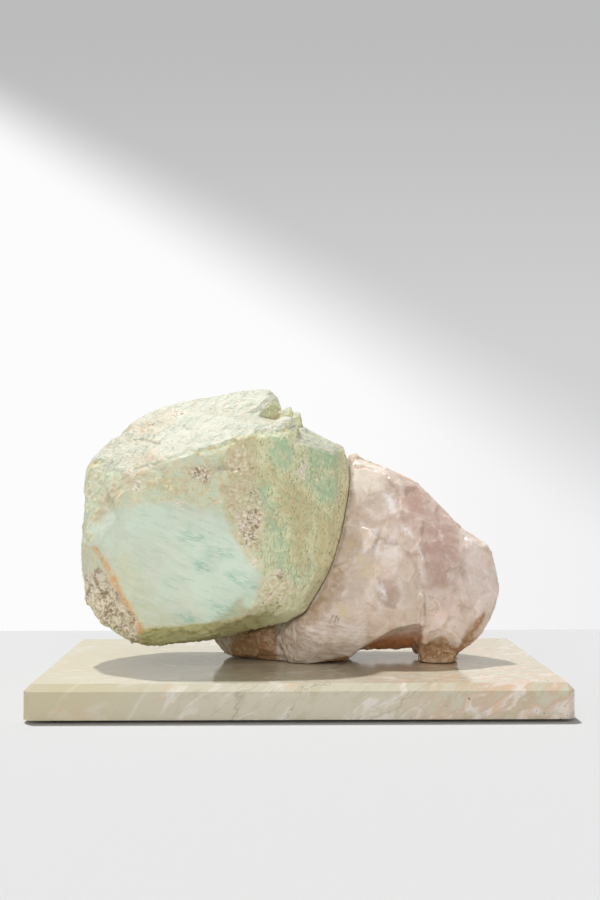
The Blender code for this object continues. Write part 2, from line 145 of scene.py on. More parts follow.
# Kinds of surface on the rose quartz's front, in the same way
ROSE_QUARTZ_ZONES = {
    "pink": (1.6, 14.0, (((96, 213), (124, 196), (147, 169), (164, 144), (154, 112), (121, 102),
        (115, 127), (100, 161)),)),
    "pale": (1.0, 9.0, (((157, 162), (168, 158), (196, 110), (196, 86), (166, 79), (151, 108)),)),
    "bright": (1.2, 10.0, (((119, 100), (156, 105), (161, 65), (138, 53), (118, 60)),)),
    "scar": (0.8, 4.0, (((75, 114), (89, 111), (96, 100), (89, 87), (79, 89), (74, 102)),)),
    "cream": (1.8, 9.0, (((51, 228), (68, 228), (85, 218), (79, 196), (59, 194), (50, 203)),)),
    "veil": (1.0, 4.0, (((65, 162), (75, 161), (73, 151), (66, 153)), ((98, 162), (103, 162), (109, 153),
        (106, 150)), ((111, 146), (115, 144), (116, 129), (112, 136)), ((83, 193), (93, 194), (94, 173),
        (87, 173)), ((92, 120), (98, 102), (96, 96), (91, 109)), ((71, 115), (74, 105), (79, 97),
        (76, 108)))),
    "haze": (1.4, 8.0, (((72, 150), (93, 161), (92, 123), (76, 132)), ((30, 70), (60, 74), (56, 62),
        (24, 60)))),
    "ochre": (1.2, 4.0, (((55, 134), (71, 127), (71, 116), (57, 113)), ((35, 89), (48, 88), (47, 78),
        (36, 80)), ((44, 154), (53, 150), (48, 140), (43, 143)), ((52, 223), (65, 215), (65, 205),
        (51, 206)))),
    "ribs": (0.8, 4.0, (((-3, 74), (33, 82), (87, 57), (64, 47), (22, 36), (-3, 34)),)),
    # Under the aquamarine's lower edge: brown stain with painted shade
    "contact": (1.0, 4.0, (((-5, 70), (1, 77), (22, 104), (39, 129), (43, 113), (29, 86), (6, 70)),)),
    # The underside of the arch: its peach colour, painted bright as painted light in its shade
    "under": (0.7, 2.0, (((61, 50), (91, 62), (113, 73), (118, 57), (114, 36), (80, 36)),)),
    "skin": (0.9, 3.0, (((113, 50), (137, 57), (150, 50), (161, 65), (182, 84), (172, 64), (163, 52),
        (149, 30), (110, 30)), ((-66, 56), (-24, 76), (-19, 62), (-17, 30), (-70, 30)))),
    "posts": (0.5, 2.5, (((-20, 76), (-2, 76), (-2, 32), (-19, 32)), ((-92, 60), (-68, 64), (-64, 30),
        (-92, 30)))),
}
RIDGE_LINE = ((95, 215), (102, 189), (114, 143), (118, 113))
TICK_MARKS = (((28, 74), (32, 82)), ((35, 81), (33, 75)), ((37, 79), (36, 76)))
# How the growth ribs low at the left run, and the upright ones beside them
RIB_RUN = (0.97, 0.0, -0.2)
POST_RUN = (0.05, 0.0, 1.0)

# Hair veins of the slab: a point on its front, and how far each leans sideways per mm of height and of depth
MARBLE_VEINS = ((-44, 33, 0.55, 0.9), (28, 28, 1.45, -0.7), (106, 26, 1.9, 1.3))
MARBLE_DRIFT_RUN = (0.76, 0.35, 0.55)

# One crumb is an octahedron with its points at these places, before it is stretched and turned
CRUMB_POINTS = np.array(((1, 0, 0), (-1, 0, 0), (0, 1, 0), (0, -1, 0), (0, 0, 1), (0, 0, -1)), dtype=float)
CRUMB_FACES = ((0, 2, 4), (2, 1, 4), (1, 3, 4), (3, 0, 4), (2, 0, 5), (1, 2, 5), (3, 1, 5), (0, 3, 5))
# Half the width of the largest crumb, before it is stretched
CRUMB_REACH = 1.9


def linear(code):
    """An sRGB hex colour as linear light."""
    shares = [int(code[place:place + 2], 16) / 255 for place in (0, 2, 4)]
    return tuple(v / 12.92 if v <= 0.04045 else ((v + 0.055) / 1.055) ** 2.4 for v in shares)


def paint(code, what):
    """A colour that a user may change."""
    return FloatVectorProperty(name=what, description=what + ", in linear light", subtype="COLOR", size=3,
                               min=0.0, max=1.0, default=linear(code))


def length(size, what):
    """A size that a user may change, given in mm."""
    return FloatProperty(name=what, description=what, subtype="DISTANCE", unit="LENGTH", min=0.0,
                         precision=5, default=size * MM)


class AquamarineSettings(bpy.types.PropertyGroup):
    """Sizes and colours of the aquamarine boulder."""
    voxel: length(1.25, "Mesh spacing")
    grain_height: length(0.9, "Height of druzy grains")
    ledge_height: length(1.0, "Height of cleavage ledges")
    pale: paint("DAE2CF", "Pale green of the smooth face")
    blue: paint("DBEEDB", "Blue clouds")
    teal: paint("91C2AB", "Teal flecks")
    green: paint("B4D0AB", "Mint green patches")
    lime: paint("D8DBBA", "Yellow green of the lower left")
    middle: paint("E3E2C3", "Rough upper front")
    sage: paint("E3E6BB", "Sage of the right side")
    ochre: paint("CFB57C", "Ochre stain")
    granular: paint("E5D5B6", "Granular matrix")
    blush: paint("D3C0A2", "Pinkish stain")
    top: paint("CCCBB6", "Top")
    vein: paint("E4AC70", "Iron stained vein")
    under: paint("C8C58E", "Underside")
    pit: paint("7C5C3A", "Bottom of the pits")


class RoseQuartzSettings(bpy.types.PropertyGroup):
    """Sizes and colours of the rose quartz boulder."""
    voxel: length(1.15, "Mesh spacing")
    swell_height: length(0.9, "Depth of conchoidal breaks")
    mauve: paint("D9C6B4", "Mauve body")
    pink: paint("C9AA9E", "Pink facet")
    pale: paint("F2E2DA", "Pale end")
    bright: paint("F5E0D8", "Bright pink")
    cream: paint("F2E6D9", "Cream at the seam")
    veil: paint("F7F2F2", "White veil")
    ochre: paint("DAC8A6", "Ochre stain")
    skin: paint("A5733D", "Natural brown skin")
    # Underside colour, laid over bright pink that is painted light in the underside's shade
    under: paint("E59A61", "Underside")


class MarbleSettings(bpy.types.PropertyGroup):
    """Colours of the marble base."""
    edge_round: length(0.5, "Rounding of the arrises")
    cream: paint("CCC6B2", "Cream ground")
    green: paint("CAC0A0", "Green grey at the left")
    pink: paint("CDAA8F", "Rose patches at the right")
    white: paint("E7E2DB", "White clouds")
    orange: paint("DAB081", "Orange streaks")
    vein: paint("8E836F", "Grey hair vein")
    pit: paint("6B5B4C", "Small pits")


class PadSettings(bpy.types.PropertyGroup):
    """Colour of the felt pad."""
    edge_round: length(0.4, "Rounding of the edges")
    felt: paint("141413", "Felt")


class StageSettings(bpy.types.PropertyGroup):
    """Studio floor, wall and lights."""
    floor: paint("C8C8C8", "Floor")
    # The backdrop glows: its light and its shade are painted into these colours
    wall_light: paint("FCFCFC", "Lit part of the wall")
    wall_dim: paint("F2F2F2", "Lit part of the wall at the right")
    wall_low: paint("D2D2D2", "Lower shaded part of the wall")
    wall_high: paint("BBBBBB", "Upper shaded part of the wall")
    wall_mirrored: paint("FDFBF5", "The wall as the polished slab mirrors it")
    room: paint("FFF9EC", "Room light")
    key_tint: paint("F9FBFF", "Key light")
    key: FloatProperty(name="Key light", description="Strength of the key light", default=3.3, min=0.0)
    fill: FloatProperty(name="Front light", description="Strength of the broad front light", default=1.1,
                        min=0.0)
    around: FloatProperty(name="Room light", description="Strength of the light from all round",
                          default=0.30, min=0.0)


# Fields over the points of a mesh

def ramp(low, high, value):
    """Nothing below low, one above high, and a smooth rise between."""
    share = np.clip((value - low) / (high - low), 0.0, 1.0)
    return share * share * (3.0 - 2.0 * share)


def waves(points, size, octaves=3, shift=0.0):
    """Fractal noise of a size in mm at each point, about -1 to 1."""
    offset = Vector((shift, shift * 0.7, -shift))
    return np.array([noise.fractal(Vector(point) / size + offset, 0.9, 2.0, octaves) for point in points])


def cells(points, size, shift=0.0):
    """Distance to the nearest and the next cell centre, in cell sizes."""
    offset = Vector((shift, -shift, shift * 0.3))
    found = [noise.voronoi(Vector(point) / size + offset, distance_metric="DISTANCE")[0][:2]
             for point in points]
    return np.array(found)


def facets(points, out, ragged, size, limit, shift):
    """Breaks a surface into flat facets of a size in mm: the move of each point and its facet's shade."""
    offset = Vector((shift, -shift, shift * 0.5))
    shaken = points + ragged[:, None]
    found = [noise.voronoi(Vector(point) / size + offset, distance_metric="DISTANCE") for point in shaken]
    gaps = np.array([near[1] - near[0] for near, _places in found])
    seeds = np.round([tuple(places[0]) for _near, places in found], 3)
    numbers = np.unique(seeds, axis=0, return_inverse=True)[1].ravel()
    count = numbers.max() + 1
    middles = gather(numbers, points, count) / np.bincount(numbers, minlength=count)[:, None]
    facing = gather(numbers, out, count)
    facing /= np.maximum(np.linalg.norm(facing, axis=1, keepdims=True), 1e-9)
    along = (out * facing[numbers]).sum(axis=1)
    move = ((middles[numbers] - points) * facing[numbers]).sum(axis=1)
    move = np.clip(move, -limit, limit) * ramp(0.0, 0.1, gaps) * ramp(0.6, 0.85, along)
    shades = np.random.default_rng(FACET_SEED).random(count)
    return move, shades[numbers]


def squeezed_axes(along, outward, stretch):
    """Three axes, the first squeezed, so that noise over them is drawn out along one direction."""
    along = Vector(along).normalized()
    across = along.cross(Vector(outward)).normalized()
    return along / stretch, across, along.cross(across)


def squeezed(points, along, outward, stretch):
    """Points seen along those axes."""
    return points @ np.array(squeezed_axes(along, outward, stretch)).T


def path_distance(path, x, z):
    """Distance in mm from a line drawn on the front."""
    best = np.full(len(x), 1e9)
    for (x0, z0), (x1, z1) in zip(path[:-1], path[1:]):
        run = (x1 - x0, z1 - z0)
        share = np.clip(((x - x0) * run[0] + (z - z0) * run[1]) / (run[0] ** 2 + run[1] ** 2), 0.0, 1.0)
        best = np.minimum(best, np.hypot(x - x0 - share * run[0], z - z0 - share * run[1]))
    return best


def inside_distance(outline, x, z):
    """Distance in mm from a closed outline, positive inside it."""
    closed = outline + outline[:1]
    inside = np.zeros(len(x), dtype=bool)
    for (x0, z0), (x1, z1) in zip(closed[:-1], closed[1:]):
        spans = (z0 > z) != (z1 > z)
        with np.errstate(divide="ignore", invalid="ignore"):
            crossing = x < (x1 - x0) * (z - z0) / (z1 - z0) + x0
        inside ^= spans & crossing
    return np.where(inside, 1.0, -1.0) * path_distance(closed, x, z)


def zone_mask(outlines, x, z, ragged, soft):
    """One inside any of the outlines, with ragged and soft edges in mm."""
    mask = np.zeros(len(x))
    for outline in outlines:
        mask = np.maximum(mask, ramp(-soft, soft, inside_distance(outline, x, z) + ragged))
    return mask


def toward_viewer(points, out):
    """How far each point faces the viewer, from -1 to 1."""
    away = np.array(CAMERA_PLACE) - points
    return (away * out).sum(axis=1) / np.linalg.norm(away, axis=1)


def surface_of(points, out, zones, wobble, fine, rough, ragged):
    """What both stones need at each point. A noise is its size in mm, octaves and shift."""
    rock = SimpleNamespace(points=points, out=out, x=points[:, 0], z=points[:, 2])
    rock.wobble = waves(points, *wobble)
    rock.fine = waves(points, *fine)
    rock.rough = waves(points, *rough)
    rock.seen = ramp(0.0, 0.22, toward_viewer(points, out))
    rock.hidden = 1.0 - rock.seen
    rock.ragged = ragged[0] * rock.wobble + ragged[1] * rock.fine
    rock.zone = {name: zone_mask(outlines, rock.x, rock.z, rock.ragged * wide, soft) * rock.seen
                 for name, (wide, soft, outlines) in zones.items()}
    return rock


# Mesh work

def placed(name, data):
    """A new object in the scene."""
    item = bpy.data.objects.new(name, data)
    bpy.context.scene.collection.objects.link(item)
    return item


def applied_mesh(item):
    """A new mesh with the object's modifiers applied."""
    graph = bpy.context.evaluated_depsgraph_get()
    graph.update()
    return bpy.data.meshes.new_from_object(item.evaluated_get(graph))


def field_of(items, name, wide=1, kind=float):
    """One field of all the items of a mesh, with a row for each item where it has parts."""
    flat = np.empty(len(items) * wide, dtype=kind)
    items.foreach_get(name, flat)
    return flat.reshape(-1, wide) if wide > 1 else flat


def remeshed(node, name, spacing):
    """A fine even copy of a packed solid, as a new object. The spacing is in metres."""
    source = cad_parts[node]
    rough = source.copy()
    rough.data = source.data.copy()
    bpy.context.scene.collection.objects.link(rough)
    rough.modifiers.clear()
    step = rough.modifiers.new("even", "REMESH")
    step.mode = "VOXEL"
    step.voxel_size = spacing
    mesh = applied_mesh(rough)
    mesh.transform(source.matrix_world)
    old = rough.data
    bpy.data.objects.remove(rough)
    bpy.data.meshes.remove(old)
    mesh.name = name
    mesh.materials.clear()
    return placed(name, mesh)


def mesh_points(mesh):
    """The points of a mesh in mm."""
    return field_of(mesh.vertices, "co", 3) / MM


def set_points(mesh, points):
    """Write points in mm back into a mesh."""
    mesh.vertices.foreach_set("co", (points * MM).ravel())
    mesh.update()


def point_normals(mesh):
    """The outward direction at each point."""
    return field_of(mesh.vertex_normals, "vector", 3)


def quad_corners(mesh):
    """Corner numbers of each face, four to a face."""
    if not (field_of(mesh.polygons, "loop_total", kind=np.int64) == 4).all():
        raise RuntimeError("the remesh gave faces that are not quads")
    return field_of(mesh.loops, "vertex_index", kind=np.int64).reshape(-1, 4)


def neighbour_faces(corners):
    """Pairs of faces that share an edge."""
    ends = np.stack((corners, np.roll(corners, -1, axis=1)), axis=2).reshape(-1, 2)
    keys = ends.min(axis=1) * (corners.max() + 1) + ends.max(axis=1)
    faces = np.repeat(np.arange(len(corners)), 4)
    order = np.argsort(keys, kind="stable")
    same = keys[order][:-1] == keys[order][1:]
    return faces[order][:-1][same], faces[order][1:][same]


def gather(numbers, values, count):
    """Sum of three-part values by number."""
    return np.stack([np.bincount(numbers, values[:, part], count) for part in range(3)], axis=1)


def quad_normals(points, corners):
    """Unit direction of each face."""
    first = points[corners[:, 2]] - points[corners[:, 0]]
    second = points[corners[:, 3]] - points[corners[:, 1]]
    normals = np.cross(first, second)
    return normals / np.maximum(np.linalg.norm(normals, axis=1, keepdims=True), 1e-12)


def calm_small_facets(mesh, turn, normal_rounds=9, point_rounds=10):
    """Even out the solid's small facets but keep its main edges: faces that turn less share a direction."""
    points = mesh_points(mesh)
    corners = quad_corners(mesh)
    left, right = neighbour_faces(corners)
    count = len(corners)
    normals = quad_normals(points, corners)
    for _round in range(normal_rounds):
        gap = ((normals[left] - normals[right]) ** 2).sum(axis=1)
        weight = np.exp(-gap / (2 * turn * turn))[:, None]
        total = normals + gather(left, normals[right] * weight, count)
        total += gather(right, normals[left] * weight, count)
        normals = total / np.linalg.norm(total, axis=1, keepdims=True)
    flat_corners = corners.ravel()
    owners = np.repeat(np.arange(count), 4)
    uses = np.bincount(flat_corners, minlength=len(points))[:, None]
    for _round in range(point_rounds):
        middles = points[corners].mean(axis=1)
        step = ((middles[owners] - points[flat_corners]) * normals[owners]).sum(axis=1, keepdims=True)
        points = points + gather(flat_corners, step * normals[owners], len(points)) / uses
    set_points(mesh, points)


def bulge(mesh, points, out):
    """How far each point stands above its smoothed surroundings in mm: above 0 on edges, below in hollows."""
    first, second = field_of(mesh.edges, "vertices", 2, np.int64).T
    count = len(points)
    uses = (np.bincount(first, minlength=count) + np.bincount(second, minlength=count))[:, None]
    smooth = points.copy()
    for _round in range(BULGE_ROUNDS):
        smooth = (gather(first, smooth[second], count) + gather(second, smooth[first], count)) / uses
    return ((points - smooth) * out).sum(axis=1)


def store_mask(mesh, name, values):
    """Keep a number per point for the material to read."""
    layer = mesh.attributes.new(name, "FLOAT", "POINT")
    layer.data.foreach_set("value", np.asarray(values, dtype=np.float32))


def thinned(item):
    """Thin the mesh where it is flat, down to the face limit."""
    mesh = item.data
    triangles = 2 * len(mesh.polygons)
    share = FACE_LIMIT / triangles
    if share >= 1.0:
        return
    step = item.modifiers.new("thin", "DECIMATE")
    step.ratio = share
    item.data = applied_mesh(item)
    item.modifiers.clear()
    bpy.data.meshes.remove(mesh)


def gap_to(node, points):
    """Distance in mm from each point to another packed solid, up to a limit."""
    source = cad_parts[node]
    corners = [source.matrix_world @ corner.co for corner in source.data.vertices]
    tree = BVHTree.FromPolygons(corners, [tuple(face.vertices) for face in source.data.polygons])
    found = [tree.find_nearest(Vector(point) * MM, GAP_LIMIT * MM)[3] for point in points]
    return np.array([GAP_LIMIT if gap is None else gap / MM for gap in found])


def box_in_mm(node):
    """The low and high corner of a packed solid's box in mm."""
    return [np.array(corner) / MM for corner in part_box(node)]


def finish_stone(item, node, heights, masks, finish):
    """Push the points out by the heights, keep them in the solid's box, and dress the stone."""
    mesh = item.data
    points = mesh_points(mesh) + point_normals(mesh) * heights[:, None]
    points = np.clip(points, *box_in_mm(node))
    set_points(mesh, points)
    raised = bulge(mesh, points, point_normals(mesh))
    # Raised edges, which the materials paint lighter: partly worn edges, partly painted highlight
    masks["edge"] = ramp(0.6, 2.2, raised) * (1.0 - masks["grime"])
    # Hollows, which the materials paint darker as painted shade
    masks["hollow"] = ramp(0.35, 1.5, -raised)
    for name, values in masks.items():
        store_mask(mesh, name, np.clip(values, 0.0, 1.0))
    thinned(item)
    item.data.shade_smooth()
    item.data.materials.append(finish)
    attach(item, "root")
    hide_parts(node)


# Materials

def fill_sockets(tree, node, inputs):
    """A link or a value for each named socket."""
    for socket, value in inputs.items():
        if isinstance(value, bpy.types.NodeSocket):
            tree.links.new(value, node.inputs[socket])
        else:
            node.inputs[socket].default_value = value


def add_node(tree, kind, inputs=None, **settings):
    """One node with its settings, its values and the links into it."""
    node = tree.nodes.new("ShaderNode" + kind)
    for name, value in settings.items():
        setattr(node, name, value)
    fill_sockets(tree, node, inputs or {})
    return node


def fresh_material(name):
    """An empty material with its shader and the place in mm."""
    made = bpy.data.materials.new(name)
    made.use_nodes = True
    tree = made.node_tree
    place = add_node(tree, "TexCoord").outputs["Object"]
    in_mm = add_node(tree, "VectorMath", {0: place, "Scale": 1 / MM}, operation="SCALE")
    return made, tree, tree.nodes["Principled BSDF"], in_mm.outputs[0]


def masks_of(tree, names):
    """The stone's masks as sockets, by name."""
    return {name: add_node(tree, "Attribute", attribute_name=name).outputs["Fac"]
            for name in names.split()}


def patterns(tree, place, rows):
    """Patterns of noise, each from its size in mm, detail, roughness and twist, and how it is drawn out."""
    made = []
    for size, detail, roughness, twist, *drawn in rows:
        where = place
        if drawn:
            parts = [add_node(tree, "VectorMath", {0: place, 1: axis}, operation="DOT_PRODUCT").outputs[1]
                     for axis in squeezed_axes(*drawn)]
            where = add_node(tree, "CombineXYZ", dict(enumerate(parts))).outputs[0]
        made.append(add_node(tree, "TexNoise", {"Vector": where, "Scale": 1.0 / size, "Detail": detail,
                                                "Roughness": roughness, "Distortion": twist}).outputs[0])
    return made


def overlap(tree, *places):
    """Where all the places hold. A tuple counts a pattern from low to high, up to a strength."""
    both = None
    for place in places:
        if isinstance(place, tuple):
            field, low, high, strength = place
            counted = {"Value": field, "From Min": low, "From Max": high, "To Max": strength}
            place = add_node(tree, "MapRange", counted, interpolation_type="SMOOTHSTEP").outputs[0]
        if both is not None:
            place = add_node(tree, "Math", {0: both, 1: place}, operation="MULTIPLY").outputs[0]
        both = place
    return both


def colour_of(value):
    """A colour for a socket, from a hex code, a setting or another socket."""
    if isinstance(value, bpy.types.NodeSocket):
        return value
    return (*(linear(value) if isinstance(value, str) else value), 1.0)


def layered(tree, ground, layers):
    """Colours laid over each other. A layer is its colour and the places where it lies."""
    for colour, *places in layers:
        mixed = {0: overlap(tree, *places), 6: colour_of(ground), 7: colour_of(colour)}
        ground = add_node(tree, "Mix", mixed, data_type="RGBA").outputs[2]
    return ground


def summed(tree, parts):
    """Heights added up. A part is its weight and the patterns that it is made of."""
    total = 0.0
    for weight, *places in parts:
        total = add_node(tree, "Math", {0: overlap(tree, *places), 1: weight, 2: total},
                         operation="MULTIPLY_ADD").outputs[0]
    return total


def facet_toned(tree, colour, facet, spread):
    """The colour a little darker or lighter from facet to facet, as broken faces catch the light."""
    tone = add_node(tree, "MapRange", {"Value": facet, "To Min": 1.0 - spread, "To Max": 1.0})
    return add_node(tree, "VectorMath", {0: colour, "Scale": tone.outputs[0]},
                    operation="SCALE").outputs[0]


def finish_shader(tree, shader, colour, gloss, relief):
    """Colour, roughness from a pattern and its range, and relief from a height, its metres and strength."""
    pattern, low, high = gloss
    height, depth, strength = relief
    rough = add_node(tree, "MapRange", {"Value": pattern, "From Min": 0.3, "From Max": 0.7,
                                        "To Min": low, "To Max": high})
    bump = add_node(tree, "Bump", {"Height": height, "Distance": depth, "Strength": strength})
    fill_sockets(tree, shader, {"Base Color": colour, "Roughness": rough.outputs[0],
                                "Normal": bump.outputs[0]})


def aquamarine_material(look):
    """Massive beryl, broken and weathered: waxy and slightly see-through, with iron stain in its cracks."""
    made, tree, shader, place = fresh_material("aquamarine_broken_beryl")
    mask = masks_of(tree, "smooth lime blue teal green granular corner crystal ochre rim blush pits vein top "
                          "under right facet grime edge hollow")
    across = add_node(tree, "SeparateXYZ", {0: place}).outputs[0]
    broad, mottle, patch, speckle, brushed, dashes, top_streak, strokes = patterns(tree, place, (
        (30.0, 4.0, 0.55, 0.8),
        (8.0, 6.0, 0.62, 0.5),
        (4.0, 5.0, 0.65, 0.4),
        (1.7, 4.0, 0.7, 0.0),
        (3.4, 5.0, 0.62, 0.5, (0.93, 0.0, -0.36), FRONT, 6.0),
        (2.0, 4.0, 0.6, 0.4, (0.95, 0.0, -0.3), FRONT, 5.0),
        (5.0, 5.0, 0.6, 0.5, LEDGE_RUN, LEDGE_OUTWARD, 6.0),
        (1.7, 4.0, 0.62, 0.5, (0.25, -0.1, 0.96), FRONT, 5.0),
    ))
    # Crumbs of quartz and feldspar are 1 to 3 mm across, each with its own shade
    crumb = add_node(tree, "TexVoronoi", {"Vector": place, "Scale": 1 / 2.3}, feature="F1")
    shade = add_node(tree, "SeparateColor", {0: crumb.outputs["Color"]}).outputs[0]

    face = layered(tree, look.pale, (
        (look.blue, (broad, 0.42, 0.66, 0.5)),
        (look.blue, mask["blue"]),
        (look.lime, mask["lime"], (mottle, 0.25, 0.6, 0.9)),
        ("EAEFE4", (brushed, 0.5, 0.7, 0.45)),
        ("BDD3C1", (brushed, 0.5, 0.32, 0.5)),
        ("EFF1E7", (speckle, 0.6, 0.72, 0.4)),
        ("DBD9BA", (patch, 0.56, 0.7, 0.3)),
    ))
    middle = layered(tree, look.middle, (
        ("D7E5C9", (broad, 0.45, 0.62, 0.7)),
        ("E1CD9E", (mottle, 0.52, 0.64, 0.75)),
        ("D0E2CB", (mottle, 0.46, 0.36, 0.7)),
        ("F7F0D9", (speckle, 0.56, 0.7, 0.6)),
        ("B4A87F", (speckle, 0.44, 0.3, 0.5)),
    ))
    right = layered(tree, look.sage, (
        ("BFD5B3", (broad, 0.45, 0.62, 0.6)),
        (look.ochre, (mottle, 0.5, 0.68, 0.55)),
        ("F4F0D2", (strokes, 0.5, 0.62, 0.75)),
        ("97A06C", (strokes, 0.48, 0.36, 0.75)),
        ("CDB17E", (patch, 0.56, 0.7, 0.4)),
        ("F4EDD1", (speckle, 0.56, 0.68, 0.8)),
        ("9C9567", (speckle, 0.44, 0.32, 0.65)),
    ))
    top = layered(tree, look.top, (
        ("A4B29A", (top_streak, 0.5, 0.62, 0.8)),
        ("C1B28F", (mottle, 0.54, 0.66, 0.6)),
        ("D1CCBF", (patch, 0.55, 0.68, 0.6)),
        ("9D906F", (speckle, 0.58, 0.7, 0.45)),
    ))
    granular = layered(tree, look.granular, (
        ("D1D4A9", (mottle, 0.42, 0.6, 0.55)),
        ("FFF5E1", (shade, 0.55, 0.85, 0.6)),
        ("C3A576", (patch, 0.5, 0.62, 0.6)),
        ("A68B65", (speckle, 0.56, 0.7, 0.35)),
    ))
    under = layered(tree, look.under, (
        ("9E8C58", (mottle, 0.45, 0.62, 0.7)),
        ("C1C8A1", (brushed, 0.5, 0.65, 0.6)),
    ))
    vein = layered(tree, look.vein, (("EDD1AB", (patch, 0.5, 0.64, 1.0)),))
    pits = layered(tree, look.pit, (("B99D76", (speckle, 0.45, 0.6, 1.0)),))
    colour = layered(tree, middle, (
        (right, mask["right"]),
        (face, mask["smooth"]),
        (look.teal, mask["teal"], (dashes, 0.4, 0.62, 1.0)),
        (look.teal, mask["smooth"], (dashes, 0.62, 0.74, 0.5)),
        (look.green, mask["green"], (mottle, 0.3, 0.58, 0.85)),
        (top, mask["top"]),
        (look.ochre, mask["ochre"], (strokes, 0.36, 0.6, 0.9)),
        (look.blush, mask["blush"], (mottle, 0.2, 0.62, 0.8)),
        (granular, mask["granular"], (mottle, 0.2, 0.5, 1.0)),
        ("F8F0C4", mask["rim"], (mottle, 0.2, 0.5, 0.85)),
        ("B09359", mask["rim"], (patch, 0.52, 0.66, 0.7)),
        (under, mask["under"]),
        # The underside is browner toward its middle and paler near the rose quartz
        ("7F6C40", mask["under"], (across, -100.0, -65.0, 0.35)),
        ("F0F0CC", mask["under"], (across, -40.0, 0.0, 0.9)),
        # Lighter on raised edges: partly worn edges, partly painted highlight
        ("F0EFE3", mask["edge"], (patch, 0.4, 0.66, 0.5)),
        # Painted shade in hollows
        ("AF956B", mask["hollow"], (mottle, 0.35, 0.6, 0.6)),
        # Darker along the seam to the rose quartz: brown stain with painted shade
        ("9B8353", mask["grime"], (patch, 0.3, 0.6, 0.7)),
        (vein, mask["vein"]),
        ("F9F1DE", mask["crystal"], (shade, 0.35, 0.7, 1.0)),
        ("FFF5E2", mask["corner"], (speckle, 0.38, 0.52, 1.0)),
        ("84663F", mask["corner"], (mottle, 0.5, 0.4, 0.8)),
        (pits, mask["pits"]),
    ))
    colour = facet_toned(tree, colour, mask["facet"], 0.06)
    height = summed(tree, (
        (0.5, speckle),
        (0.35, patch),
        (0.35, mottle),
        (0.35, strokes, mask["right"]),
        (0.4, top_streak, mask["top"]),
        (0.2, brushed, mask["smooth"]),
        (-0.6, crumb.outputs["Distance"], mask["granular"]),
    ))
    rugged = add_node(tree, "MapRange", {"Value": mask["smooth"], "To Min": 0.85, "To Max": 0.28})
    finish_shader(tree, shader, colour, gloss=(speckle, 0.38, 0.62),
                  relief=(height, 0.0012, rugged.outputs[0]))
    fill_sockets(tree, shader, {"IOR": 1.57, "Subsurface Weight": 0.1, "Subsurface Scale": 0.005,
                                "Subsurface Radius": (0.8, 1.0, 0.85)})
    return made


